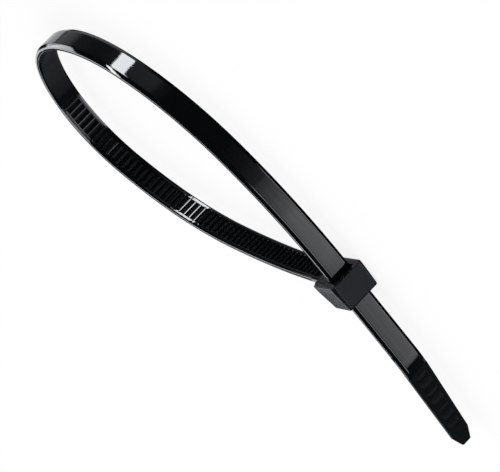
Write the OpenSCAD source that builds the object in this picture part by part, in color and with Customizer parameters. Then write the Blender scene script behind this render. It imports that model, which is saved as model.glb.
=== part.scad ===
// A closed cable tie, moulded in one piece: a strap that runs from the back of the head,
// round the bundle and through the slot in the head, where a sprung pawl holds its teeth.
// The tie lies on its side, so the loop is drawn in the XY plane and Z runs across the strap.
// A path follows the toothed face of the strap. It starts at the head and turns clockwise,
// so the smooth outer face is always on its left.

/* [Strap] */
// Width of the strap
strap_w = 4.8; // [4.2:0.1:5.6]
// Thickness of the strap from the rail tops to the outer face
strap_t = 1.2; // [1.1:0.05:1.4]
// Width of the sloping edge along each side of the outer face
edge_w = 0.65; // [0.3:0.05:1]
// Drop of that sloping edge
edge_drop = 0.35; // [0.15:0.05:0.5]
// Width of the rail on each side of the teeth
rail_w = 0.72; // [0.5:0.02:1]
// Depth of the channel between the rails
channel_d = 0.45; // [0.35:0.05:0.55]
// Distance from one tooth to the next
tooth_pitch = 1.3; // [1.2:0.05:1.5]
// Depth of the tooth tips below the rail tops
tooth_sunk = 0.08; // [0.05:0.01:0.12]
// Width of the flat on each tooth tip
tooth_land = 0.2; // [0.1:0.05:0.3]
// Length of a tooth's ramp, which faces the free end
tooth_ramp = 0.62; // [0.4:0.02:0.7]

/* [Loop] */
// Radius of the bundle that the far end of the loop seats on
bundle_r = 19.3; // [17:0.1:22]
// Angle that the round seat spans towards the root of the strap
seat_root_a = 107; // [100:1:115]
// Angle that the round seat spans towards the free end
seat_free_a = 5; // [2:1:15]
// Angle from the middle of the seat at which the smooth stretch of the toothed face ends
smooth_a = 58; // [40:1:80]
// Distance from the seat's axis to the widest place of the free side, along the loop
belly_x = 17.1; // [12:0.1:24]
// Distance from the seat's axis to the widest place of the free side, across the loop
belly_y = 31.3; // [28:0.1:34]
// Distance from the seat's axis to the mouth of the slot, along the loop
mouth_x = 45.8; // [42:0.1:52]
// Distance from the seat's axis to the mouth of the slot, across the loop
mouth_y = 25.8; // [22:0.1:28]
// Direction in which the strap passes through the head
slot_dir = 159; // [152:1:166]

/* [Head] */
// Length of the head along the slot
head_len = 5.6; // [5:0.1:7]
// Wall of the head on each side of the slot, at the entry
side_wall = 1.32; // [1:0.02:1.6]
// Stretch behind the entry face over which the sides run straight
side_flat = 1.2; // [0.5:0.1:2]
// Narrowing of each side from there to the exit
side_draft = 0.35; // [0.1:0.05:0.6]
// Wall in front of the strap's outer face
front_wall = 1.9; // [1.2:0.05:2.2]
// Chamfer along the two front edges of the sides
front_chamfer = 0.55; // [0.2:0.05:0.7]
// Distance from the strap's toothed face to the head's back, at the root
head_back = 4.5; // [4:0.1:5.5]
// The same distance at the exit, where the head is slimmer
exit_back = 3.1; // [2.8:0.1:3.6]
// Flat of the head's back beside the root
back_flat = 0.7; // [0.4:0.05:1]
// Cut of each back corner, across the head
corner_w = 1; // [0.5:0.1:1.2]
// Cut of each back corner, towards the front
corner_d = 0.6; // [0.3:0.05:0.8]
// Width of the facet that slopes off each side of the entry face, at the back
facet_w = 1.1; // [0.6:0.1:1.4]
// Drop of that facet, which runs out towards the front
facet_drop = 0.3; // [0.1:0.05:0.5]
// Chamfer along the exit edge of the front wall
exit_chamfer = 0.3; // [0.1:0.05:0.6]
// Play round the strap in the slot
slot_play = 0.18; // [0.1:0.02:0.3]
// Depth of the funnel at the mouth of the slot
funnel_d = 0.6; // [0.3:0.05:0.8]
// Length of the funnel along the slot
funnel_len = 0.9; // [0.5:0.1:1.5]
// Wall of the head behind the pawl
back_wall = 0.85; // [0.6:0.05:1]
// Step from the entry face down to the toothed face of the strap's root
root_step = 0.05; // [0.03:0.01:0.1]
// Lean of the root from the head's entry face into the loop
root_lean = 5; // [0:1:10]

/* [Pawl] */
// Gap between the pawl and each rail of the strap
pawl_play = 0.18; // [0.12:0.02:0.3]
// Thickness of the pawl at its hinge
pawl_t = 0.9; // [0.7:0.05:1.1]
// Number of teeth on the pawl
pawl_teeth = 3; // [2:1:3]
// Gap between the pawl's teeth and the strap's teeth
pawl_gap = 0.08; // [0.05:0.01:0.12]
// Gap between the pawl and the walls of its chamber
pawl_room = 0.28; // [0.2:0.02:0.35]

/* [Tail] */
// Straight length of strap from the head to the bend before the grip
tail_out = 14.6; // [10:0.1:24]
// Angle of the bend before the grip
tail_bend_a = 11; // [2:1:20]
// Inner radius of that bend
tail_bend_r = 20; // [12:1:40]
// Length of the grip, with its tip
grip_len = 19.2; // [14:0.1:26]
// Thickness of the grip between its ribs
grip_t = 0.9; // [0.7:0.05:1]
// Distance from one grip rib to the next
rib_pitch = 2.1; // [1.6:0.1:3]
// Width of a grip rib at its foot
rib_w = 0.9; // [0.5:0.1:1.2]
// Width of its crest
rib_top = 0.3; // [0.1:0.05:0.4]
// Bare border on each side of the ribs
rib_border = 0.6; // [0.4:0.05:0.9]
// Narrowing of the grip on each side, from the bend to the shoulders of the tip
grip_taper = 0.45; // [0.2:0.05:0.7]
// Length of the tip past the shoulders
tip_len = 2.5; // [1.5:0.1:4]
// Narrowing of the tip on each side, from the shoulders to its blunt end
tip_cut = 0.95; // [0.5:0.05:1.2]

/* [Hidden] */
$fn = 96;
nylon = [0.07, 0.07, 0.075];
// Overlap of pieces of the one moulding where they run into each other
bite = 0.05;
// Amount by which a slim stretch of strap lies inside its full neighbours
hair = 0.005;
// Full-width start of the grip, before it narrows
grip_land = 0.4;
// Spare length of a cut past the face that it opens
past = 1;
// Distance past the front at which the facets of the entry face run out
facet_past = 1;

// Paths: a stretch is [start, heading, clockwise turn, length]
function dir(a) = [cos(a), sin(a)];
function left(h) = dir(h + 90);
function arc_len(r, a) = r * a * PI / 180;
function half_turn(a) = a - 360 * floor((a + 180) / 360);

// The arc that leaves p with heading h and ends at q
function bow(p, h, q) =
    let (
        v = q - p,
        half = half_turn(h - atan2(v.y, v.x)),
        long = abs(half) < 0.001 ? norm(v) : norm(v) * half * PI / 180 / sin(half)
    )
    [p, h, 2 * half, long];

// Two tangent arcs from p with heading h to q with heading k
function two_bows(p, h, q, k) =
    let (
        v = q - p,
        both = dir(h) + dir(k),
        gap = 2 * (1 - dir(h) * dir(k)),
        reach = (sqrt((v * both) ^ 2 + gap * (v * v)) - v * both) / gap,
        m = (p + q + reach * (dir(h) - dir(k))) / 2,
        first = bow(p, h, m)
    )
    [first, bow(m, h - first[2], q)];

function bend_r(stretch) = stretch[3] * 180 / PI / stretch[2];
function bend_centre(stretch) = stretch[0] - bend_r(stretch) * left(stretch[1]);

// Place and heading at the distance s along one stretch
function along(stretch, s) =
    let (h = stretch[1] - stretch[2] * s / stretch[3])
    abs(stretch[2]) < 0.001
        ? [stretch[0] + s * dir(h), h]
        : [bend_centre(stretch) + bend_r(stretch) * left(h), h];
function past_end(stretch) = along(stretch, stretch[3]);
// The same curve, with more of it drawn before its start and after its end
function longer(stretch, before, after) =
    let (at = along(stretch, -before), long = stretch[3] + before + after)
    [at[0], at[1], stretch[2] * long / stretch[3], long];

// Sizes that follow from the strap
head_w = strap_w + 2 * (slot_play + side_wall);
head_over = (head_w - strap_w) / 2;
head_front = strap_t + slot_play + front_wall;
pawl_w = strap_w - 2 * (rail_w + pawl_play);
tail_len = head_len + tail_out;
shoulder_w = strap_w - 2 * grip_taper;
tip_w = shoulder_w - 2 * tip_cut;

// The head's own axes: the mouth of the slot, the slot's direction and the way to the back
mouth = [-mouth_x, -mouth_y];
to_back = -left(slot_dir);
function in_head(a, b) = mouth + a * dir(slot_dir) + b * to_back;

root = in_head(root_step, head_back);
root_dir = slot_dir - 90 - root_lean;

seat = [bundle_r * dir(seat_root_a), seat_root_a - 90,
        seat_root_a - smooth_a, arc_len(bundle_r, seat_root_a - smooth_a)];
smooth_seat = [bundle_r * dir(smooth_a), smooth_a - 90,
        smooth_a + seat_free_a, arc_len(bundle_r, smooth_a + seat_free_a)];
belly = [-belly_x, -belly_y];

root_side = concat(two_bows(root, root_dir, seat[0], seat[1]), [seat]);
seat_end = past_end(smooth_seat);
through_head = [mouth, slot_dir - 360, 0, tail_len];
free_side = concat(
    two_bows(seat_end[0], seat_end[1], belly, -180),
    two_bows(belly, -180, mouth, slot_dir - 360),
    [through_head]
);
mouth_run = run_to(free_side, len(free_side) - 1);
tail_bend = [past_end(through_head)[0], slot_dir - 360, tail_bend_a, arc_len(tail_bend_r, tail_bend_a)];
grip_start = past_end(tail_bend);

// Lengths along a list of stretches, and the place at the distance s along it
function run_to(path, i) = i == 0 ? 0 : run_to(path, i - 1) + path[i - 1][3];
function place(path, s, i = 0) =
    i == len(path) - 1 || s <= path[i][3] ? along(path[i], s) : place(path, s - path[i][3], i + 1);
// The point at the distance s along the path and d outward from the rail tops
function off_path(path, s, d) = let (at = place(path, s)) at[0] + d * left(at[1]);

// Strap section: x is the distance outward from the rail tops, y is across the strap, and
// every face lies deeper by the amount given
module plain_section(in = 0) {
    polygon([
        [in, in], [strap_t - edge_drop, in], [strap_t - in, edge_w],
        [strap_t - in, strap_w - edge_w], [strap_t - edge_drop, strap_w - in], [in, strap_w - in]
    ]);
}

module channel_section(in = 0) {
    difference() {
        plain_section(in);
        translate([-past, rail_w - in])
            square([past + channel_d + in, strap_w - 2 * (rail_w - in)]);
    }
}

// The section given as the child, carried along one stretch
module carry(stretch) {
    if (abs(stretch[2]) < 0.001)
        translate(stretch[0])
            rotate([0, 0, stretch[1]])
                rotate([90, 0, 90])
                    linear_extrude(stretch[3]) children();
    else
        translate(bend_centre(stretch))
            rotate_extrude(angle = stretch[2], start = stretch[1] + 90 - stretch[2])
                translate([bend_r(stretch), 0]) children();
}

// Ladder teeth: each has a steep face towards the root and a ramp towards the free end
tooth_rise = channel_d - tooth_sunk;
function tooth(path, s) = [
    off_path(path, s, channel_d + bite),
    off_path(path, s, tooth_sunk),
    off_path(path, s + tooth_land, tooth_sunk),
    off_path(path, s + tooth_land + tooth_ramp, channel_d + bite)
];

// Teeth from the distance first to the distance last along the path, in step with one at datum
module ladder(path, first, last, datum) {
    foot = (channel_d + strap_t) / 2;
    steps = [ceil((first - datum) / tooth_pitch) :
             floor((last - tooth_land - tooth_ramp - datum) / tooth_pitch)];
    points = [for (k = steps) tooth(path, datum + k * tooth_pitch)];
    feet = [for (k = steps) off_path(path, datum + (k + 0.5) * tooth_pitch, foot)];
    translate([0, 0, rail_w - bite])
        linear_extrude(strap_w - 2 * rail_w + 2 * bite)
            polygon(concat(
                [for (p = points) each p],
                [for (i = [len(feet) - 1 : -1 : 0]) feet[i]]
            ));
}

// Length of the channel left bare at its square ends
bare_end = tooth_pitch / 4;

// Every other stretch is slim by a hair and runs on into its full neighbours, so each joint
// is a clean ledge, and never two skins that nearly match
module slim(stretch) {
    carry(longer(stretch, bite, bite)) channel_section(hair);
}

module strap() {
    slim(root_side[0]);
    carry(root_side[1]) channel_section();
    slim(root_side[2]);
    carry(smooth_seat) plain_section();
    slim(free_side[0]);
    carry(free_side[1]) channel_section();
    slim(free_side[2]);
    carry(free_side[3]) channel_section();
    slim(through_head);
    carry(longer(tail_bend, 0, 2 * bite)) plain_section();
    root_run = run_to(root_side, len(root_side));
    ladder(root_side, tooth_pitch, root_run - bare_end, root_run);
    ladder(free_side, bare_end, mouth_run + tail_len - bare_end, mouth_run + pawl_start);
    carry([root - back_wall * dir(root_dir), root_dir, 0, back_wall]) plain_section();
}

// Grip: a thinner tongue with ribs on both faces, drawn from the end of the tail's bend
module grip_outline() {
    half = strap_w / 2 - hair;
    shoulder = grip_len - tip_len;
    polygon([
        [0, -half], [grip_land, -half], [shoulder, -shoulder_w / 2], [grip_len, -tip_w / 2],
        [grip_len, tip_w / 2], [shoulder, shoulder_w / 2], [grip_land, half], [0, half]
    ]);
}

// A row of ribs that stand up from y = 0, along the grip
rib_rise = (strap_t - grip_t) / 2;

module rib_row() {
    rib_len = shoulder_w - 2 * rib_border;
    count = floor((grip_len - tip_len) / rib_pitch);
    slope = (rib_w - rib_top) / 2;
    translate([0, 0, (strap_w - rib_len) / 2])
        linear_extrude(rib_len)
            for (k = [1 : count])
                translate([k * rib_pitch - rib_w, 0])
                    polygon([
                        [0, -bite], [rib_w, -bite], [rib_w - slope, rib_rise], [slope, rib_rise]
                    ]);
}

module grip() {
    translate(grip_start[0])
        rotate([0, 0, grip_start[1]]) {
            translate([0, strap_t - rib_rise, strap_w / 2])
                rotate([90, 0, 0])
                    linear_extrude(grip_t) grip_outline();
            translate([0, strap_t - rib_rise, 0]) rib_row();
            translate([0, rib_rise, 0]) mirror([0, 1, 0]) rib_row();
        }
}

// Head: drawn in its own axes, x along the slot and y to the back
module in_head_axes() {
    translate(mouth)
        rotate([0, 0, slot_dir])
            mirror([0, 1, 0]) children();
}

// The back slopes from the root to the slimmer exit, and the roof of the chamber follows it
back_slope = (head_back - exit_back) / (head_len - back_flat);
function back_at(x) = head_back - back_slope * (x - back_flat);
function roof_at(x) = back_at(x) - back_wall;

module head_outline() {
    polygon([
        [0, -head_front], [head_len - exit_chamfer, -head_front],
        [head_len, exit_chamfer - head_front], [head_len, exit_back],
        [back_flat, head_back], [0, head_back]
    ]);
}

// Head seen from the front, across the strap's middle: x along the slot, y across the head
module head_plan() {
    half = strap_w / 2 + head_over;
    polygon([
        [0, -half], [side_flat, -half], [head_len, side_draft - half],
        [head_len, half - side_draft], [side_flat, half], [0, half]
    ]);
}

// Head seen along the slot: x to the back, y across the head
module head_section() {
    half = strap_w / 2 + head_over;
    polygon([
        [-head_front, front_chamfer - half], [front_chamfer - head_front, -half],
        [head_back, -half], [head_back, half],
        [front_chamfer - head_front, half], [-head_front, half - front_chamfer]
    ]);
}

// Slot with its funnel, seen from the side
module slot_outline() {
    face = strap_t + slot_play;
    polygon([
        [-past, -face - funnel_d], [0, -face - funnel_d],
        [funnel_len, -face], [head_len + past, -face],
        [head_len + past, slot_play], [-past, slot_play]
    ]);
}

// Pawl chamber, open at the exit: its entry wall is as thick as the strap
chamber_start = strap_t + root_step;

module chamber_outline() {
    polygon([
        [chamber_start, 0], [head_len + past, 0],
        [head_len + past, roof_at(head_len + past)], [chamber_start, roof_at(chamber_start)]
    ]);
}

// Cut of one back corner, which follows the slope of the back
module corner_cut() {
    slope = atan(back_slope);
    run = head_len + 2 * past;
    translate([-past, back_at(-past), -head_over])
        rotate([0, 0, -slope])
            rotate([90, 0, 90])
                linear_extrude(run / cos(slope))
                    polygon([
                        [past, -past], [past, corner_w + past * corner_w / corner_d],
                        [-corner_d - past * corner_d / corner_w, -past]
                    ]);
}

// All that lies past the plane through three points, on the side of their right-hand normal
module past_plane(p, q, r) {
    out = cross(q - p, r - p);
    span = 2 * (head_len + head_back);
    translate(p)
        rotate([0, acos(out.z / norm(out)), atan2(out.y, out.x)])
            translate([-span / 2, -span / 2, 0]) cube([span, span, past]);
}

module facet_cut() {
    past_plane(
        [0, -head_front - facet_past, -head_over],
        [0, head_back, facet_w - head_over],
        [facet_drop, head_back, -head_over]
    );
}

module both_sides() {
    children();
    translate([0, 0, strap_w]) mirror([0, 0, 1]) children();
}

module head_body() {
    intersection() {
        translate([0, 0, -head_over])
            linear_extrude(head_w) head_outline();
        translate([0, head_back + past, strap_w / 2])
            rotate([90, 0, 0])
                linear_extrude(head_front + head_back + 2 * past) head_plan();
        translate([-past, 0, strap_w / 2])
            rotate([90, 0, 90])
                linear_extrude(head_len + 2 * past) head_section();
    }
}

module head_block() {
    difference() {
        head_body();
        translate([0, 0, -slot_play])
            linear_extrude(strap_w + 2 * slot_play) slot_outline();
        translate([0, 0, (strap_w - pawl_w) / 2 - pawl_room])
            linear_extrude(pawl_w + 2 * pawl_room) chamber_outline();
        both_sides() corner_cut();
        both_sides() facet_cut();
    }
}

// Pawl: each of its teeth stands in the gap before a strap tooth, a running gap away from it
pawl_deep = channel_d - pawl_gap;
pawl_ramp = tooth_ramp * (slot_play + pawl_deep) / tooth_rise;
pawl_heel = chamber_start + pawl_room;
// Steep face of the first strap tooth that the pawl holds, from the mouth of the slot
pawl_start = pawl_heel + pawl_ramp + pawl_gap;

module pawl_outline() {
    steep = [for (k = [pawl_teeth - 1 : -1 : 0]) pawl_start - pawl_gap + k * tooth_pitch];
    toe = steep[0] + bite;
    polygon(concat(
        [for (x = steep) each [[x, slot_play], [x, -pawl_deep], [x - pawl_ramp, slot_play]]],
        [
            [pawl_heel, roof_at(pawl_heel) + bite],
            [pawl_heel + pawl_t, roof_at(pawl_heel + pawl_t) + bite],
            [pawl_heel + pawl_t, head_back / 2],
            [toe, slot_play + pawl_t],
            [toe, slot_play]
        ]
    ));
}

module head() {
    in_head_axes() {
        head_block();
        translate([0, 0, (strap_w - pawl_w) / 2])
            linear_extrude(pawl_w) pawl_outline();
    }
}

// The origin is under the middle of the whole tie
tip = grip_start[0] + grip_len * dir(grip_start[1]);
x_max = bundle_r + strap_t;
x_min = tip.x + (strap_t - rib_rise) * left(grip_start[1]).x;
y_max = bundle_r + strap_t;
y_min = -belly_y - strap_t;

module cable_tie() {
    color(nylon)
        translate([-(x_max + x_min) / 2, -(y_max + y_min) / 2, head_over]) {
            strap();
            grip();
            head();
        }
}

cable_tie();
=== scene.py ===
# %% [markdown]
# # A closed cable tie
# The real thing is one moulding of black nylon: a flat strap with ladder teeth on its inner face,
# a square head with a sprung pawl, and a ribbed grip on the tail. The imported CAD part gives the
# frame and the size. It could be shown as it is, but its edges are sharp and catch no light. So
# this lesson builds a finer skin on it, with surfaces worked out in numpy and a moulded finish.

import bpy
import numpy as np
from mathutils import Matrix, Vector


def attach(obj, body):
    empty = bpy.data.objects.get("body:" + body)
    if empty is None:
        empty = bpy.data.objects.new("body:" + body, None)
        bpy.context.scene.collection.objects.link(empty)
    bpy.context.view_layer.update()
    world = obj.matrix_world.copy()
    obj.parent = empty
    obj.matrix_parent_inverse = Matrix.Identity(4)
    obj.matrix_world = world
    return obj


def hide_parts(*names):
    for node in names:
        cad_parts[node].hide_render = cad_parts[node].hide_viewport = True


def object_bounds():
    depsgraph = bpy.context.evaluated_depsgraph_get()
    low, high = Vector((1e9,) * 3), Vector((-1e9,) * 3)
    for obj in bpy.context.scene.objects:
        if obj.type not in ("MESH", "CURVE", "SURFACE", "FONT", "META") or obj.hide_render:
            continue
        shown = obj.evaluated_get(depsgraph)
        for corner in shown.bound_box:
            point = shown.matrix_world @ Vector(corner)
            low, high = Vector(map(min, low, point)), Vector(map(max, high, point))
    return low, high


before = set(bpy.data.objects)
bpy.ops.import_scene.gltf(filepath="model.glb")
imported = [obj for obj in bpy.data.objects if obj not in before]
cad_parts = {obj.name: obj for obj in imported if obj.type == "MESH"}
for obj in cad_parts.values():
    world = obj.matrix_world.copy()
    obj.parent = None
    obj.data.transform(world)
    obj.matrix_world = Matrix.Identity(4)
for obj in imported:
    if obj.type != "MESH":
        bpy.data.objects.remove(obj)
cad_box = [list(corner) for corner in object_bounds()]
print("CAD box in mm:", np.round(np.array(cad_box) * 1000, 2).tolist())

# %% [markdown]
# ## The numbers
# All lengths are in millimetres and follow the CAD source, so the skin lies on its solid. The
# loop is drawn in the XY plane, with its origin on the axis of the round end, and Z runs across
# the strap from its lower edge.

# %% Sizes of the strap, the loop, the head and the grip
STRAP_W, STRAP_T = 4.8, 1.2
EDGE_W, EDGE_DROP = 0.65, 0.35
RAIL_W, CHANNEL_D = 0.72, 0.45
PITCH, SUNK, LAND, RAMP = 1.3, 0.08, 0.2, 0.62
BUNDLE_R, SEAT_ROOT, SEAT_FREE, SMOOTH = 19.3, 107, 5, 58
BELLY = np.array([-17.1, -31.3])
MOUTH = np.array([-45.8, -25.8])
SLOT_DIR, HEAD_LEN = 159, 5.6
HEAD_BACK, EXIT_BACK, BACK_FLAT, BACK_WALL = 4.5, 3.1, 0.7, 0.85
ROOT_STEP, ROOT_LEAN = 0.05, 5
SLOT_PLAY, SIDE_WALL, FRONT_WALL = 0.18, 1.32, 1.9
TAIL_LEN, TAIL_BEND, TAIL_BEND_R = HEAD_LEN + 14.6, 11, 20
GRIP_LEN, GRIP_T, TIP_LEN = 19.2, 0.9, 2.5
HEAD_OVER = SLOT_PLAY + SIDE_WALL
MM = 0.001

low = np.array(cad_box[0]) / MM
seat_axis = np.array([-low[0] - BUNDLE_R - STRAP_T, low[1] - BELLY[1] + STRAP_T])
origin = np.array([seat_axis[0], seat_axis[1], HEAD_OVER])
print("the loop's origin in the part's frame:", np.round(origin, 3).tolist())

# %% [markdown]
# ## The path of the strap
# A closed tie bends into arcs that run smoothly into each other. A Bezier curve could follow it,
# but its distances along the strap are uneven, and the teeth need even ones. So the path is made
# of true arcs. It follows the toothed face and turns clockwise, so the smooth outer face is always
# on its left. Between two places with known headings, two tangent arcs do the job, and the whole
# path is evaluated at once for an array of distances.

# %% Arcs


def towards(angle):
    """Unit vectors at angles in degrees: (cos a, sin a) along the last axis."""
    a = np.radians(angle)
    return np.stack([np.cos(a), np.sin(a)], -1)


def bow(p, h, q):
    """The arc from p with heading h to q. It turns through twice the angle between heading and
    chord, and its length is chord * half / sin(half)."""
    v = q - p
    half = (h - np.degrees(np.arctan2(v[1], v[0])) + 180) % 360 - 180
    return p, h, 2 * half, np.hypot(*v) * np.radians(half) / np.sin(np.radians(half))


def two_bows(p, h, q, k):
    """Two tangent arcs from p with heading h to q with heading k. Both end tangents are run out
    by the same reach, and the arcs meet half way between their ends."""
    v, both = q - p, towards(h) + towards(k)
    gap = 2 * (1 - towards(h) @ towards(k))
    reach = (np.sqrt((v @ both) ** 2 + gap * (v @ v)) - v @ both) / gap
    joint = (p + q + reach * (towards(h) - towards(k))) / 2
    first = bow(p, h, joint)
    return [first, bow(joint, h - first[2], q)]


def arc(p, h, turn, radius):
    """The arc from p with heading h that turns by an angle in degrees at a radius."""
    return p, h, turn, np.radians(turn) * radius


# %% The whole path, from the slab on the head to the tip
TO_BACK = -towards(SLOT_DIR + 90)
NEARLY_STRAIGHT = 1e-6


def in_head(a, b):
    """A point a along the slot and b behind it, in the loop's plane."""
    return MOUTH + a * towards(SLOT_DIR) + b * TO_BACK


def straight(p, h, length):
    """A straight stretch, as an arc that hardly turns, so that one formula fits every stretch."""
    return p, h, NEARLY_STRAIGHT, length


root = in_head(ROOT_STEP, HEAD_BACK)
root_dir = SLOT_DIR - 90 - ROOT_LEAN
slab_len = BACK_WALL
seat_start = BUNDLE_R * towards(SEAT_ROOT)
seat_end = BUNDLE_R * towards(-SEAT_FREE)
tail_end = MOUTH + TAIL_LEN * towards(SLOT_DIR)

stretches = [straight(root - slab_len * towards(root_dir), root_dir, slab_len)]
stretches += two_bows(root, root_dir, seat_start, SEAT_ROOT - 90)
stretches.append(arc(seat_start, SEAT_ROOT - 90, SEAT_ROOT - SMOOTH, BUNDLE_R))
root_run = sum(st[3] for st in stretches)
stretches.append(arc(BUNDLE_R * towards(SMOOTH), SMOOTH - 90, SMOOTH + SEAT_FREE, BUNDLE_R))
free_from = sum(st[3] for st in stretches)
stretches += two_bows(seat_end, -SEAT_FREE - 90, BELLY, -180)
stretches += two_bows(BELLY, -180, MOUTH, SLOT_DIR - 360)
mouth_run = sum(st[3] for st in stretches)
stretches.append(straight(MOUTH, SLOT_DIR - 360, TAIL_LEN))
stretches.append(arc(tail_end, SLOT_DIR - 360, TAIL_BEND, TAIL_BEND_R))
grip_from = sum(st[3] for st in stretches)
print("strap from the slab to the grip: %.1f mm" % grip_from)

# %% Places along the path
start = np.array([st[0] for st in stretches])
heading0, turn, length = np.array([st[1:] for st in stretches], float).T


def place(s):
    """Points and headings at distances s. In the stretch that s falls in, the heading falls
    evenly from its start, and the point is start + R * (left(h) - left(h0)), with R the length
    over the turn. Past the last bend the path goes straight on."""
    begins = np.concatenate([[0], np.cumsum(length)[:-1]])
    i = np.clip(np.searchsorted(begins, s, "right") - 1, 0, len(length) - 1)
    t = np.minimum(s - begins[i], length[i])
    h = heading0[i] - turn[i] * t / length[i]
    radius = length[i] / np.radians(turn[i])
    p = start[i] + radius[:, None] * (towards(h + 90) - towards(heading0[i] + 90))
    return p + (s - begins[i] - t)[:, None] * towards(h), h


# %% [markdown]
# ## Turning grids into meshes
# Every skin is a grid of points: rows follow one another along the piece, and columns go round
# it. One helper makes the mesh, closes it round, caps or joins its ends, and turns it the right
# way out by the sign of its volume. A moulding has no knife edges, and its small radii catch the
# light. A Bevel modifier could round them, but it would choose its own faces at every tooth, so
# another helper eases the corners of the grid itself.

# %% Easing the corners of a grid
MOST_OF_EDGE = 0.45


def eased(grid, radii, axis, steps=3):
    """Rounds the closed polylines that run along an axis. Each corner c becomes the curve
    c + r (1 - t)^2 back + r t^2 on, where back and on are unit vectors to its neighbours. No
    radius takes more than its share of an edge."""
    g = np.moveaxis(grid, axis, 0)
    r = np.array(radii)[:, None, None]
    back, on = np.roll(g, 1, 0) - g, np.roll(g, -1, 0) - g
    back_len = np.linalg.norm(back, axis=-1, keepdims=True)
    on_len = np.linalg.norm(on, axis=-1, keepdims=True)
    r = np.minimum(r, MOST_OF_EDGE * np.minimum(back_len, on_len))
    t = np.linspace(0, 1, steps)[:, None, None, None]
    out = g + r * ((1 - t) ** 2 * back / back_len + t**2 * on / on_len)
    out = np.moveaxis(out, 0, 1).reshape(-1, *g.shape[1:])
    return np.moveaxis(out, 0, axis)


# %% A grid as a mesh
CREASE = 40


def skin(name, grid, ring=False, run=None, girth=None):
    """A closed mesh from a grid of points in mm, in the loop's frame. Columns always close round.
    With ring the rows close too, otherwise flat caps close the ends. run and girth are the
    distances along and round that become the UV map, in mm."""
    n, k = grid.shape[:2]
    rows = np.arange(n if ring else n - 1)
    i, j = np.meshgrid(rows, np.arange(k), indexing="ij")
    i2, j2 = (i + 1) % n, (j + 1) % k
    quads = np.stack([i * k + j, i2 * k + j, i2 * k + j2, i * k + j2], -1).reshape(-1, 4)
    points = (grid.reshape(-1, 3) + origin) * MM
    a, b, c, d = points[quads].transpose(1, 0, 2)
    volume = (a * (np.cross(b, c) + np.cross(c, d))).sum()
    faces = quads.tolist()
    if not ring:
        faces += [list(range(k)), list(range(n * k - 1, (n - 1) * k - 1, -1))]
    mesh = bpy.data.meshes.new(name)
    mesh.from_pydata(points.tolist(), [], faces)
    if run is not None:
        u = np.stack([run[i], run[i2], run[i2], run[i]], -1)
        v = np.stack([girth[j], girth[j], girth[j + 1], girth[j + 1]], -1)
        uv = np.zeros((len(mesh.loops), 2))
        uv[: u.size] = np.stack([u.ravel(), v.ravel()], -1)
        mesh.uv_layers.new(name="strap_run").data.foreach_set("uv", uv.ravel())
    if volume < 0:
        mesh.flip_normals()
    return finished(name, mesh)


def finished(name, mesh):
    """Shades a mesh smooth, with sharp edges past the crease angle, and lets big faces rule the
    normals, so that flats stay flat beside their eased corners."""
    mesh.validate()
    mesh.shade_smooth()
    mesh.set_sharp_from_angle(angle=np.radians(CREASE))
    piece = bpy.data.objects.new(name, mesh)
    bpy.context.scene.collection.objects.link(piece)
    weigh = piece.modifiers.new("flats_stay_flat", "WEIGHTED_NORMAL")
    weigh.keep_sharp = True
    print("%s: %d vertices, %d faces" % (name, len(mesh.vertices), len(mesh.polygons)))
    return piece


# %% [markdown]
# ## The strap
# The real strap is a flat band with a sloping edge along each side of its outer face. Its inner
# face has a channel between two rails, with rungs across it, steep towards the head and ramped
# towards the free end. The band could be an extrusion with a Boolean for each tooth, but one
# section carried along the path does it all, because only the depth of the channel changes. The
# outer face is crowned by a hair and the rails fall away a little, which draws out what the gloss
# mirrors into long soft streaks, as on the real strap.

# %% Where the teeth are
# They keep step with the pawl, so its sizes come first
bare = PITCH / 4
chamber_start = STRAP_T + ROOT_STEP
tooth_rise = CHANNEL_D - SUNK
pawl_gap, pawl_room, pawl_teeth, pawl_t = 0.08, 0.28, 3, 0.9
pawl_deep = CHANNEL_D - pawl_gap
pawl_ramp = RAMP * (SLOT_PLAY + pawl_deep) / tooth_rise
pawl_heel = chamber_start + pawl_room
pawl_start = pawl_heel + pawl_ramp + pawl_gap


def rungs(first, last, datum):
    """Distances of the steep faces from first to last, in step with one at the datum."""
    k0 = np.ceil((first - datum) / PITCH)
    k1 = np.floor((last - LAND - RAMP - datum) / PITCH)
    return datum + PITCH * np.arange(k0, k1 + 1)


teeth = np.concatenate([
    rungs(slab_len + PITCH, root_run - bare, root_run),
    rungs(free_from + bare, mouth_run + TAIL_LEN - bare, mouth_run + pawl_start),
])
print("teeth on the strap:", len(teeth))

# %% Depth of the channel along the strap
# One tooth, as shares of its rise at offsets from its steep face
STEEP, TOP_EDGE, STEP_UP = 0.03, 0.02, 0.04
TOOTH_AT = np.array([0.0, STEEP, LAND, LAND + TOP_EDGE, LAND + RAMP])
TOOTH_UP = np.array([0.0, 1.0, 1.0, 1 - TOP_EDGE / RAMP, 0.0])

channel_ends = np.array([slab_len, root_run, free_from, mouth_run + TAIL_LEN])
end_at = channel_ends[:, None] + np.array([-STEP_UP, STEP_UP])
end_d = np.array([[0, 1], [1, 0], [0, 1], [1, 0]]) * CHANNEL_D
depth_at = np.concatenate([end_at.ravel(), (teeth[:, None] + TOOTH_AT).ravel()])
depth = np.concatenate([end_d.ravel(), np.tile(CHANNEL_D - tooth_rise * TOOTH_UP, len(teeth))])
order = np.argsort(depth_at)
depth_at, depth = depth_at[order], depth[order]
print("corners of the channel's floor:", len(depth))

# %% [markdown]
# ## The grip
# The tail ends in a thinner tongue with ribs across it, so fingers and tools hold it. It could be
# a piece of its own, but on the real tie it runs on from the strap without a seam. So it is part
# of the same band: past the last bend the section becomes thinner, narrows, and rises at each rib
# on both faces, and at the very end it closes in to a blunt tip.

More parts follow.
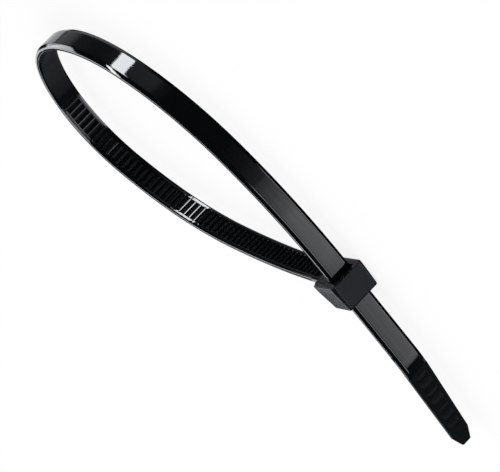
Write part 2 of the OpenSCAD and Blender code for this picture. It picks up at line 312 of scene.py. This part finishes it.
# %% Ribs, taper and tip along the grip
RIB_PITCH, RIB_W, RIB_TOP, RIB_RISE = 2.1, 0.9, 0.38, (STRAP_T - GRIP_T) / 2
TAPER, TIP_CUT, RIB_EDGE = 0.45, 0.95, 1.05
shoulder = grip_from + GRIP_LEN - TIP_LEN
tip_at = grip_from + GRIP_LEN

ribs = grip_from + RIB_PITCH * np.arange(1, np.floor((GRIP_LEN - TIP_LEN) / RIB_PITCH) + 1)
slope = (RIB_W - RIB_TOP) / 2
rib_at = (ribs[:, None] + np.array([-RIB_W, -RIB_W + slope, -slope, 0])).ravel()
rib_up = np.tile([0, RIB_RISE, RIB_RISE, 0], len(ribs))
print("ribs on the grip:", len(ribs))

# %% Stations along the strap
# Plain stretches need few stations, set a little in from where the section changes. The tip
# closes in over the last ones: their distances from it, and how far each face draws in there.
TIP_BACK, DRAWN_IN = np.array([0.18, 0.08, 0.03, 0.0]), np.array([0, 0.03, 0.07, 0.16])
STEP_DOWN, NARROWS, CLOSEST = np.array([-0.02, 0.06]), 0.4, 0.012

plain = np.concatenate([
    np.linspace(0, slab_len - 0.1, 4),
    np.linspace(root_run + 0.2, free_from - 0.2, 70),
    np.linspace(mouth_run + TAIL_LEN + 0.2, grip_from - 0.1, 14),
    grip_from + STEP_DOWN,
    [grip_from + NARROWS],
    np.linspace(grip_from + 1, shoulder, 12),
    np.linspace(shoulder + 0.3, tip_at - 0.3, 6),
    tip_at - TIP_BACK,
])
s = np.unique(np.round(np.concatenate([plain, depth_at, rib_at]), 4))
s = s[np.concatenate([[True], np.diff(s) > CLOSEST])]
in_grip = s > grip_from
print("stations along the strap:", len(s))

# %% The section at every station
# Columns: inner face from z = 0 up, then the outer face back down. d is outward from the rails.
DRAFT, CROWN, MIDWAY, RAIL_FALL = 0.05, 0.018, 1.75, 0.06
GRIP_EDGE_W, GRIP_EDGE_DROP, EDGE_ROOM = 0.14, 0.12, 0.3

narrow = np.interp(s, [grip_from + NARROWS, shoulder, tip_at], [0, TAPER, TAPER + TIP_CUT])
blunt = np.interp(tip_at - s, TIP_BACK[::-1], DRAWN_IN[::-1])
face_in = np.where(in_grip, RIB_RISE, 0) + blunt
face_out = np.where(in_grip, STRAP_T - RIB_RISE, STRAP_T) - blunt
bevel_w = np.where(in_grip, GRIP_EDGE_W, EDGE_W)
bevel_d = np.where(in_grip, GRIP_EDGE_DROP, EDGE_DROP)
rib = np.interp(s, rib_at, rib_up, left=0, right=0)
floor_d = np.where(in_grip, -rib, np.interp(s, depth_at, depth, left=0, right=0))
side = narrow + blunt
wall_out = np.maximum(RIB_EDGE, side + EDGE_ROOM)
wall_in = np.where(in_grip, wall_out, RAIL_W)


def crowned(z):
    """The outer face falls from the middle to the sides: crown * ((z - middle) / half)^2."""
    across = (STRAP_W / 2 - z) / (STRAP_W / 2 - EDGE_W)
    return face_out - np.where(in_grip, 0, CROWN) * across**2


rail_fall = RAIL_FALL * (floor_d > 0) * ~in_grip
half = [
    (face_in + rail_fall, side), (face_in, wall_in), (face_in + floor_d, wall_in + DRAFT),
    (crowned(MIDWAY) + rib, MIDWAY + 0 * s),
    (crowned(wall_out) + rib, wall_out + DRAFT), (crowned(wall_out), wall_out),
    (crowned(side + bevel_w), side + bevel_w), (face_out - bevel_d, side),
]
lower = np.array([np.stack(c, -1) for c in half])
upper = lower * [1, -1] + [0, STRAP_W]
section = np.stack([*lower[:3], *upper[2::-1], *upper[:2:-1], *lower[3:]], 1)
EASE_IN, EASE_OUT = [0.05, 0.05, 0.03], [0.05, 0.05, 0.05, 0.07, 0.05]
section = eased(section, EASE_IN + EASE_IN[::-1] + EASE_OUT[::-1] + EASE_OUT, 1)
print("points round the section:", section.shape[1])

# %% The strap and grip as one skin
# The distances round are measured on one section of the ladder
LADDER_ROW = 60

at, head_to = place(s)
outward = towards(head_to + 90)
xy = at[:, None] + section[..., :1] * outward[:, None]
grid = np.concatenate([xy, section[..., 1:]], -1)
ladder = section[LADDER_ROW]
around = np.linalg.norm(np.diff(ladder, axis=0, append=ladder[:1]), axis=-1)
strap = skin("strap", grid, run=s, girth=np.concatenate([[0], np.cumsum(around)]))

# %% [markdown]
# ## Polish and flat teeth
# The steel mould is polished where the strap's faces, rails and tooth tops lie, and left dull
# between the teeth and on the grip. That could be two materials with a hard border, but a value
# on every point lets one material fade from gloss to dull. The teeth are small flat facets, so
# their faces aren't shaded smooth: each one then mirrors one level of light.

# %% Where the mould was polished
# Columns 6 to 11 are the channel's floor. It is dull where it lies deeper than the tooth tops.
GAP, GRIP_POLISH, HAIR = slice(6, 12), 0.02, 0.005

polish = np.where(in_grip, GRIP_POLISH, 1.0)[:, None] * np.ones(section.shape[1])
polish[:, GAP] *= (floor_d < SUNK + HAIR)[:, None]
strap.data.attributes.new("polish", "FLOAT", "POINT").data.foreach_set("value", polish.ravel())
print("polished share of the points: %.2f" % polish.mean())

# %% The teeth stay flat
toothed = floor_d > 0
in_teeth = np.zeros((len(s) - 1, section.shape[1]), bool)
in_teeth[:, GAP.start - 1:GAP.stop] = (toothed[:-1] | toothed[1:])[:, None]
smooth = np.ones(len(strap.data.polygons), bool)
smooth[:in_teeth.size] = ~in_teeth.ravel()
strap.data.polygons.foreach_set("use_smooth", smooth)
print("flat faces on the teeth:", in_teeth.sum())

# %% [markdown]
# ## The head
# The head is a block with a slot right through it and a chamber behind the slot for the pawl. Its
# sides and back taper to the exit, its long edges are cut off, and a facet slopes off each side
# of the entry face. It could be a cube with Booleans for the slot and the chamber, but then its
# edges would need a bevel with many corners. So the skin is a ring: it runs along the outside
# from the entry to the exit, turns in, and comes back through the slot. The head is then
# twelve-cornered loops, one after another, closed both ways. The chamber is a bulge of the inner
# loops that folds flat where it ends.

# %% Outer faces of the head
FRONT = STRAP_T + SLOT_PLAY + FRONT_WALL
FACE = STRAP_T + SLOT_PLAY
SIDE_FLAT, SIDE_DRAFT, EXIT_CHAMFER, FRONT_CHAMFER = 1.2, 0.35, 0.3, 0.55
CORNER_W, CORNER_D, FACET_W, FACET_DROP, FACET_PAST = 1, 0.6, 1.1, 0.3, 1
PAWL_PLAY, SLIVER = 0.18, 0.04
pawl_w = STRAP_W - 2 * (RAIL_W + PAWL_PLAY)
CHAMBER_Z = (STRAP_W - pawl_w) / 2 - pawl_room
BACK_SLOPE = (HEAD_BACK - EXIT_BACK) / (HEAD_LEN - BACK_FLAT)


def back_at(x):
    """The back is flat beside the root and then falls evenly to the exit."""
    return HEAD_BACK - BACK_SLOPE * np.maximum(x - BACK_FLAT, 0)


def side_at(x):
    """Height of the lower side: flat near the entry, and then it rises evenly to the exit."""
    return -HEAD_OVER + SIDE_DRAFT * np.maximum(x - SIDE_FLAT, 0) / (HEAD_LEN - SIDE_FLAT)


def facet_x(y, z):
    """Depth of the facet's plane under the entry face. It runs out past the front edge."""
    share = (y + FRONT + FACET_PAST) / (HEAD_BACK + FRONT + FACET_PAST)
    return FACET_DROP * (share - (z + HEAD_OVER) / FACET_W)


def outer(x, front=FRONT):
    """Six corners (y, z) of the lower half of the head at x: the cut front edge, the cut back
    edge, and two on the flat of the back."""
    z = side_at(x)
    rise = z + HEAD_OVER
    shift = BACK_SLOPE * np.maximum(BACK_FLAT - x, 0)
    y_cut = back_at(x) + shift - CORNER_D * (1 - rise / CORNER_W)
    z_cut = -HEAD_OVER + CORNER_W * (1 - shift / CORNER_D)
    return np.array([
        [-front, FRONT_CHAMFER - HEAD_OVER], [FRONT_CHAMFER - rise - front, z], [y_cut, z],
        [back_at(x), z_cut], [back_at(x), CHAMBER_Z], [back_at(x), CHAMBER_Z + SLIVER],
    ])


# %% Loops of the head
SLOT_CUT = 0.06


def whole(x, half):
    """A loop (x, y, z) from its lower half, mirrored about the strap's middle."""
    x = np.broadcast_to(x, len(half))
    yz = np.concatenate([half, half[::-1] * [1, -1] + [0, STRAP_W]])
    return np.concatenate([np.concatenate([x, x[::-1]])[:, None], yz], 1)


def inner(x, y_front, y_back):
    """A loop in the slot and the chamber. The slot's corners take the places of the cut ones."""
    cut = SLOT_CUT - SLOT_PLAY
    return whole(x, np.array([
        [-y_front, cut], [SLOT_CUT - y_front, -SLOT_PLAY], [-cut, -SLOT_PLAY],
        [SLOT_PLAY, cut], [SLOT_PLAY, CHAMBER_Z], [y_back, CHAMBER_Z + SLIVER],
    ]))


def in_loop(grid):
    """From the head's own axes (along the slot, to the back, up) to the loop's."""
    return np.concatenate([in_head(grid[..., :1], grid[..., 1:2]), grid[..., 2:]], -1)


# %% The head, loop by loop
# Each loop has the radius that eases the edge along it
FACET_FOOT, FUNNEL_LEN, FUNNEL_W, FOLD = 0.25, 0.9, 0.6, 0.03
ROUND = [0.4, 0.4, 0.25, 0.25, 0.02, 0.02]

entry = outer(0)
facet_top = entry.copy()
facet_top[1:3, 1] += FACET_W * facet_x(entry[1:3, 0], entry[1:3, 1]) / FACET_DROP
facet_foot = np.full(6, FACET_FOOT)
facet_foot[1:3] = facet_x(entry[1:3, 0], entry[1:3, 1])
last = HEAD_LEN - EXIT_CHAMFER
head_loops = [
    (whole(0, facet_top), 0.12),
    (whole(facet_foot, entry), 0.1),
    (whole(BACK_FLAT, outer(BACK_FLAT)), 0.1),
    (whole(SIDE_FLAT, outer(SIDE_FLAT)), 0.1),
    (whole(last, outer(last)), 0.15),
    (whole(HEAD_LEN, outer(HEAD_LEN, FRONT - EXIT_CHAMFER)), 0.15),
    (inner(HEAD_LEN, FACE, back_at(HEAD_LEN) - BACK_WALL), 0.05),
    (inner(chamber_start, FACE, back_at(chamber_start) - BACK_WALL), 0.05),
    (inner(chamber_start - FOLD, FACE, SLOT_PLAY), 0.01),
    (inner(FUNNEL_LEN, FACE, SLOT_PLAY), 0.1),
    (inner(0, FACE + FUNNEL_W, SLOT_PLAY), 0.07),
]
loops, loop_radii = zip(*head_loops)
head_grid = eased(np.array(loops), ROUND + ROUND[::-1], 1, steps=5)
head_grid = eased(head_grid, loop_radii, 0, steps=4)
head = skin("head", in_loop(head_grid), ring=True)

# %% [markdown]
# ## The pawl
# A small tongue hangs from the roof of the chamber, and its three teeth stand in the gaps between
# the strap's teeth. It hardly shows, so it could be left out, but the tie would then look as if
# nothing held it. It is an outline in the slot's plane, carried across the strap's width, which
# is all that a piece with one straight profile needs.

# %% Outline of the pawl
TOE, TOE_UP, INTO_ROOF = 0.05, 0.02, 0.1


def roof_at(x):
    """The inside of the back wall, which the pawl hangs from."""
    return back_at(x) - BACK_WALL


steep = pawl_start - pawl_gap + PITCH * np.arange(pawl_teeth - 1, -1, -1)
tooth_corners = np.stack([
    np.stack([steep, 0 * steep + SLOT_PLAY], -1),
    np.stack([steep, 0 * steep - pawl_deep], -1),
    np.stack([steep - pawl_ramp, 0 * steep + SLOT_PLAY], -1),
], 1).reshape(-1, 2)
toe = steep[0] + TOE
stem = np.array([
    [pawl_heel, roof_at(pawl_heel) + INTO_ROOF],
    [pawl_heel + pawl_t, roof_at(pawl_heel + pawl_t) + INTO_ROOF],
    [pawl_heel + pawl_t, HEAD_BACK / 2],
    [toe, SLOT_PLAY + pawl_t],
    [toe, SLOT_PLAY + TOE_UP],
])
outline = np.concatenate([tooth_corners, stem])
print("corners of the pawl's outline:", len(outline))

# %% The pawl as a skin
side_z = (STRAP_W - pawl_w) / 2
levels = np.array([side_z, STRAP_W - side_z])
flat = np.concatenate([
    np.broadcast_to(outline, (2, *outline.shape)),
    np.broadcast_to(levels[:, None, None], (2, len(outline), 1)),
], -1)
pawl = skin("pawl", in_loop(flat))

# %% [markdown]
# ## Writing shader maths as Python
# A node tree is easier to read as formulas. The class below wraps one output socket, so that
# a + b, 1 - a or a * 2 adds the Math node that does it. The functions after it make any other
# node.

# %% Sockets as numbers


class Wire:
    """One output socket of a node tree."""

    def __init__(self, tree, socket):
        self.tree, self.socket = tree, socket

    def math(self, kind, a, b):
        node = node_in(self.tree, "ShaderNodeMath", {"operation": kind}, {0: a, 1: b})
        return Wire(self.tree, node.outputs[0])

    def __add__(self, other):
        return self.math("ADD", self, other)

    def __sub__(self, other):
        return self.math("SUBTRACT", self, other)

    def __rsub__(self, other):
        return self.math("SUBTRACT", other, self)

    def __mul__(self, other):
        return self.math("MULTIPLY", self, other)

    __radd__ = __add__

    def above(self, edge, width):
        """0 below the edge and 1 past it, with a smooth step of the given width."""
        ramp = node_in(
            self.tree, "ShaderNodeMapRange", {"interpolation_type": "SMOOTHSTEP"},
            {"Value": self, "From Min": edge, "From Max": edge + width},
        )
        return Wire(self.tree, ramp.outputs["Result"])


def node_in(tree, kind, settings=None, sockets=None):
    """A node of any kind: its settings first, then the values or links of its sockets."""
    node = tree.nodes.new(kind)
    for name, value in (settings or {}).items():
        setattr(node, name, value)
    for name, value in (sockets or {}).items():
        if isinstance(value, Wire):
            tree.links.new(value.socket, node.inputs[name])
        else:
            node.inputs[name].default_value = value
    return node


def wire(tree, kind, settings=None, sockets=None, out=0):
    """One output of a new node, ready for formulas."""
    return Wire(tree, node_in(tree, kind, settings, sockets).outputs[out])


def noise(tree, at, scale, detail):
    """Soft noise round 0.5. The scale is in waves a metre."""
    return wire(tree, "ShaderNodeTexNoise", {}, {"Vector": at, "Scale": scale, "Detail": detail})


# %% [markdown]
# ## Black nylon
# Moulded nylon is near black, and its gloss follows the mould: clear where the steel was
# polished, dull in the gaps between the teeth, on the grip and on the head. Flow leaves faint
# streaks along the strap. A picture could carry all this, but noise in the shader has no edge or
# seam and stays sharp from close by. So the strap mixes a glossy and a dull shader by its polish,
# and the streaks follow its UV map, in mm along and round.

# %% The nylon
FINE_WAVES, CLOUD_WAVES, SCUFF_WAVES = 2500.0, 160.0, 700.0
# How the streaks are stretched along the strap and drawn together round it
DRAWN_OUT = (0.04, 3.0, 1.0)
NYLON_IOR, DULL_ROUGH, DULL_SHINE = 1.53, 0.5, 0.06


def blacks(tree, tone, dark, pale):
    """A colour between two blacks."""
    mix = node_in(tree, "ShaderNodeMix", {"data_type": "RGBA"}, {"Factor": tone})
    mix.inputs[6].default_value, mix.inputs[7].default_value = (*dark, 1), (*pale, 1)
    return Wire(tree, mix.outputs[2])


def nylon(name, gloss, grain, shine, dark, pale, streaks=False):
    """Nylon with a roughness, a grain height in mm, a specular level and its range of blacks."""
    material = bpy.data.materials.new(name)
    material.use_nodes = True
    tree = material.node_tree
    tree.nodes.clear()
    spot = wire(tree, "ShaderNodeTexCoord", out="Object")
    fine = noise(tree, spot, FINE_WAVES, 3.0)
    cloud = noise(tree, spot, CLOUD_WAVES, 3.0)
    scuff = noise(tree, spot, SCUFF_WAVES, 4.0)
    rough = gloss + (cloud - 0.5) * gloss * 0.6 + scuff.above(0.54, 0.2) * 0.05
    height = (cloud - 0.5) * 0.012 + (fine - 0.5) * grain
    tone = cloud
    if streaks:
        run = wire(tree, "ShaderNodeUVMap", {"uv_map": "strap_run"})
        drawn = wire(
            tree, "ShaderNodeVectorMath", {"operation": "MULTIPLY"}, {0: run, 1: DRAWN_OUT},
        )
        streak = wire(
            tree, "ShaderNodeTexNoise", {"noise_dimensions": "2D"},
            {"Vector": drawn, "Scale": 1.0, "Detail": 3.0, "Roughness": 0.6},
        )
        rough = rough + (streak - 0.5) * gloss
        height = height + (streak - 0.5) * 0.006
        tone = (tone + streak) * 0.5
    colour = blacks(tree, tone, dark, pale)
    bump = wire(tree, "ShaderNodeBump", {}, {"Height": height, "Strength": 1.0, "Distance": MM})
    surface = node_in(tree, "ShaderNodeBsdfPrincipled", {}, {
        "Base Color": colour, "Roughness": rough, "IOR": NYLON_IOR, "Specular IOR Level": shine,
        "Normal": bump,
    })
    if streaks:
        dull = node_in(tree, "ShaderNodeBsdfPrincipled", {}, {
            "Base Color": colour, "Roughness": DULL_ROUGH, "IOR": NYLON_IOR,
            "Specular IOR Level": DULL_SHINE,
        })
        polished = wire(tree, "ShaderNodeAttribute", {"attribute_name": "polish"}, out="Fac")
        both = node_in(tree, "ShaderNodeMixShader", {}, {0: polished})
        tree.links.new(dull.outputs[0], both.inputs[1])
        tree.links.new(surface.outputs[0], both.inputs[2])
        surface = both
    tree.links.new(surface.outputs[0], node_in(tree, "ShaderNodeOutputMaterial").inputs[0])
    print("%s: %d nodes" % (name, len(tree.nodes)))
    return material


# %% The two finishes on the pieces
strap_nylon = nylon(
    "strap_nylon", gloss=0.03, grain=0.0, shine=0.5,
    dark=(0.0012, 0.0022, 0.0028), pale=(0.0045, 0.0062, 0.0068), streaks=True,
)
head_nylon = nylon(
    "head_nylon", gloss=0.28, grain=0.0015, shine=0.12,
    dark=(0.005, 0.007, 0.0085), pale=(0.011, 0.0145, 0.017),
)

for piece, finish in ((strap, strap_nylon), (head, head_nylon), (pawl, head_nylon)):
    piece.data.materials.append(finish)
    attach(piece, "root")
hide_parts("cable_tie")

# %% [markdown]
# ## Floor, light and what the gloss mirrors
# The photo shows the tie on plain white. The floor is white to the camera and to rays that pass
# through things, and keeps a faint shadow, and the world behind it is white too. Gloss on black
# plastic is nothing but what it mirrors, and in an all-white room the strap would turn grey. Area
# lights could stand round it, but their places are hard to read off a curved strap. So the world
# paints a studio by direction, for glossy rays alone: a dim room with soft panels, some of them
# where the backdrop stands behind the tie. Nylon mirrors only a small part of the light that it
# faces, so the panels that it should show as white are many times brighter than white. The floor
# lets those rays through.

# %% Floor
FLOOR, SHADE, DAYLIGHT = 3.0, 0.2, 0.7
corners = [(-FLOOR, -FLOOR, 0), (FLOOR, -FLOOR, 0), (FLOOR, FLOOR, 0), (-FLOOR, FLOOR, 0)]
sheet = bpy.data.meshes.new("floor")
sheet.from_pydata(corners, [], [(0, 1, 2, 3)])
floor = bpy.data.objects.new("floor", sheet)
bpy.context.scene.collection.objects.link(floor)
floor.visible_glossy = False
print("floor: %.0f m wide" % (2 * FLOOR))


# %% White paper on the floor


def seen_white(tree):
    """1 for camera and transmission rays, and 0 for all others."""
    path = node_in(tree, "ShaderNodeLightPath")
    camera_ray = Wire(tree, path.outputs["Is Camera Ray"])
    return camera_ray + Wire(tree, path.outputs["Is Transmission Ray"])


WHITE = (1, 1, 1, 1)
paper = bpy.data.materials.new("paper")
paper.use_nodes = True
sheet.materials.append(paper)
page = paper.node_tree
page.nodes.clear()
lit = SHADE / DAYLIGHT
matt = node_in(page, "ShaderNodeBsdfDiffuse", {}, {"Color": (lit, lit, lit, 1)})
strength = seen_white(page) * (1 - SHADE)
glow = node_in(page, "ShaderNodeEmission", {}, {"Color": WHITE, "Strength": strength})
lit_page = node_in(page, "ShaderNodeAddShader")
page.links.new(matt.outputs[0], lit_page.inputs[0])
page.links.new(glow.outputs[0], lit_page.inputs[1])
page.links.new(lit_page.outputs[0], node_in(page, "ShaderNodeOutputMaterial").inputs[0])
print("paper: %d nodes" % len(page.nodes))

# %% World: the direction of a ray
world = bpy.data.worlds.new("studio")
world.use_nodes = True
bpy.context.scene.world = world
sky = world.node_tree
sky.nodes.clear()
glossy = wire(sky, "ShaderNodeLightPath", out="Is Glossy Ray")
white = seen_white(sky)
direction = wire(sky, "ShaderNodeTexCoord", out="Generated")
ray = node_in(sky, "ShaderNodeSeparateXYZ", {}, {0: direction})
ray_x, ray_y, ray_z = (Wire(sky, output) for output in ray.outputs)
azimuth = ray_x.math("ARCTAN2", ray_y, ray_x) * float(np.degrees(1))
print("world: azimuth and height of a ray from %d nodes" % len(sky.nodes))


# %% World: levels and soft edges


def round_the_room(at, knots):
    """A level that goes smoothly from knot to knot: first + sum of rise * smoothstep."""
    total = knots[0][1]
    for (a, low_level), (b, high_level) in zip(knots[:-1], knots[1:]):
        total = at.above(a, b - a) * (high_level - low_level) + total
    return total


def between(at, a, b, soft):
    """1 from a to b, with edges of the given softness outside."""
    return at.above(a - soft, soft) * (1 - at.above(b, soft))


# %% World: what the flat faces mirror
# Azimuth in degrees and brightness, for rays that go a little down. Lower rays get more light.
ROUND_THE_TIE = [
    (-180, 0.2), (-167, 0.15), (-160, 0.05), (-147.5, 0.03), (-145.5, 1.4), (-141, 1.75),
    (-134, 1.5), (-129, 1.9), (-117, 1.9), (-112, 1.3), (-107, 0.85), (-103.2, 0.5),
    (-101.8, 0.2), (-94, 0.06), (-86, 0.01), (-50, 0.01), (-44, 0.06), (-38, 0.27), (-27, 0.24),
    (-13, 0.1), (5, 0.05), (28, 0.07), (38, 0.3), (51, 0.32), (54, 0.14), (56.5, 0.85),
    (88.2, 0.85), (89.4, 0.03), (97, 0.06), (122, 0.08), (140, 0.11), (157, 0.19), (175, 0.22),
    (180, 0.2),
]
BAND, BAND_LEVEL, BAND_FALL = (-0.38, -0.17, 0.04), -0.12, 4

band = between(ray_z, *BAND) * (BAND_LEVEL - ray_z * BAND_FALL)
flat_faces = round_the_room(azimuth, ROUND_THE_TIE) * band
print("levels round the room:", len(ROUND_THE_TIE))


# %% World: soft panels for the edges and slopes


def panel(at, azimuths, heights, bright):
    """A soft panel: from, to and softness in degrees of azimuth, the same in the height of the
    ray (its z), and the brightness."""
    return between(at, *azimuths) * between(ray_z, *heights) * bright


# The low panel leans: its azimuth moves on with the height
LEAN, LEAN_FROM = 22, 0.28
leaning = azimuth + (ray_z + LEAN_FROM) * LEAN

RIM_SIDE, MOUTH_SIDE, BEHIND = (-150, -103, 3.0), (28, 56, 4.0), (0.1, 0.42, 0.06)
rims = panel(azimuth, RIM_SIDE, (-0.06, 0.34, 0.06), 4)
rims += panel(azimuth, RIM_SIDE, (-0.8, -0.48, 0.06), 4)
boxes = panel(leaning, (-22.4, -12.4, 0.4), (-0.5, -0.08, 0.04), 16)
boxes += panel(azimuth, (-12.5, -7.5, 0.5), (0.38, 0.62, 0.04), 22)
behind = panel(azimuth, (55, 88.5, 0.5), BEHIND, 2.2)
behind += panel(azimuth, (92.9, 93.7, 0.3), BEHIND, 1.54)
behind += panel(azimuth, (99, 116, 1.0), BEHIND, 2.2)
behind += panel(azimuth, (75, 112, 6.0), (0.46, 0.7, 0.05), 4)
facing_mouth = panel(azimuth, MOUTH_SIDE, (-0.1, 0.1, 0.04), 2)
facing_mouth += panel(azimuth, MOUTH_SIDE, (0.14, 0.4, 0.06), 5)
print("levels and panels: %d nodes" % len(sky.nodes))

# %% World: put together
UNDER, UNDER_LEVEL, ROOM_LEVEL = (-0.8, -0.46, 0.05), 0.04, 0.01
COOL = (0.93, 0.955, 1, 1)

under = between(azimuth, 115, 165, 12.0) * 0.6 + between(azimuth, 0, 55, 15.0) * 0.5
under = between(ray_z, *UNDER) * (under + UNDER_LEVEL)
studio = flat_faces + rims + boxes + behind + facing_mouth + under + ROOM_LEVEL
level = glossy * studio + (1 - glossy) * (white + (1 - white) * DAYLIGHT)
tint = node_in(sky, "ShaderNodeMix", {"data_type": "RGBA"}, {"Factor": glossy})
tint.inputs[6].default_value, tint.inputs[7].default_value = WHITE, COOL
colour = Wire(sky, tint.outputs[2])
back = node_in(sky, "ShaderNodeBackground", {}, {"Color": colour, "Strength": level})
sky.links.new(back.outputs[0], node_in(sky, "ShaderNodeOutputWorld").inputs[0])
world.cycles.sampling_method = "NONE"
print("studio: %d nodes" % len(sky.nodes))

# %% [markdown]
# ## The camera
# The photo looks at the tie from in front and a little above, with a long lens and the camera
# rolled far over. It could be posed by hand, but then the strap's arcs would never quite meet the
# photo's. So it was fitted to the outlines, and is given here as the point that it aims at, its
# distance in metres, its direction and its roll in degrees.

# %% Camera
AIM = Vector((0.0014, 0.00262, 0.0039))
DISTANCE, AZIMUTH, ELEVATION, ROLL, LENS = 0.86, 2.1384, 16.2376, -135.98, 340.88

az, el, ro = np.radians([AZIMUTH, ELEVATION, ROLL])
forward = Vector((-np.sin(az) * np.cos(el), np.cos(az) * np.cos(el), -np.sin(el)))
level_right = forward.cross(Vector((0, 0, 1))).normalized()
level_up = level_right.cross(forward)
right = level_right * np.cos(ro) + level_up * np.sin(ro)
up = right.cross(forward)
camera_data = bpy.data.cameras.new("camera")
camera_data.lens, camera_data.sensor_width = LENS, 36
camera_data.clip_start, camera_data.clip_end = 0.01, 20
camera = bpy.data.objects.new("camera", camera_data)
turn_to = Matrix((right, up, -forward)).transposed()
camera.matrix_world = Matrix.Translation(AIM - forward * DISTANCE) @ turn_to.to_4x4()
bpy.context.scene.collection.objects.link(camera)
bpy.context.scene.camera = camera
bpy.context.scene.view_settings.view_transform = "Standard"
print("camera at", [round(x, 3) for x in camera.location])

# %% [markdown]
# ## Finish
# The CAD part's box was printed at the start. Here the view layer is brought up to date.

# %% Finish
bpy.context.view_layer.update()
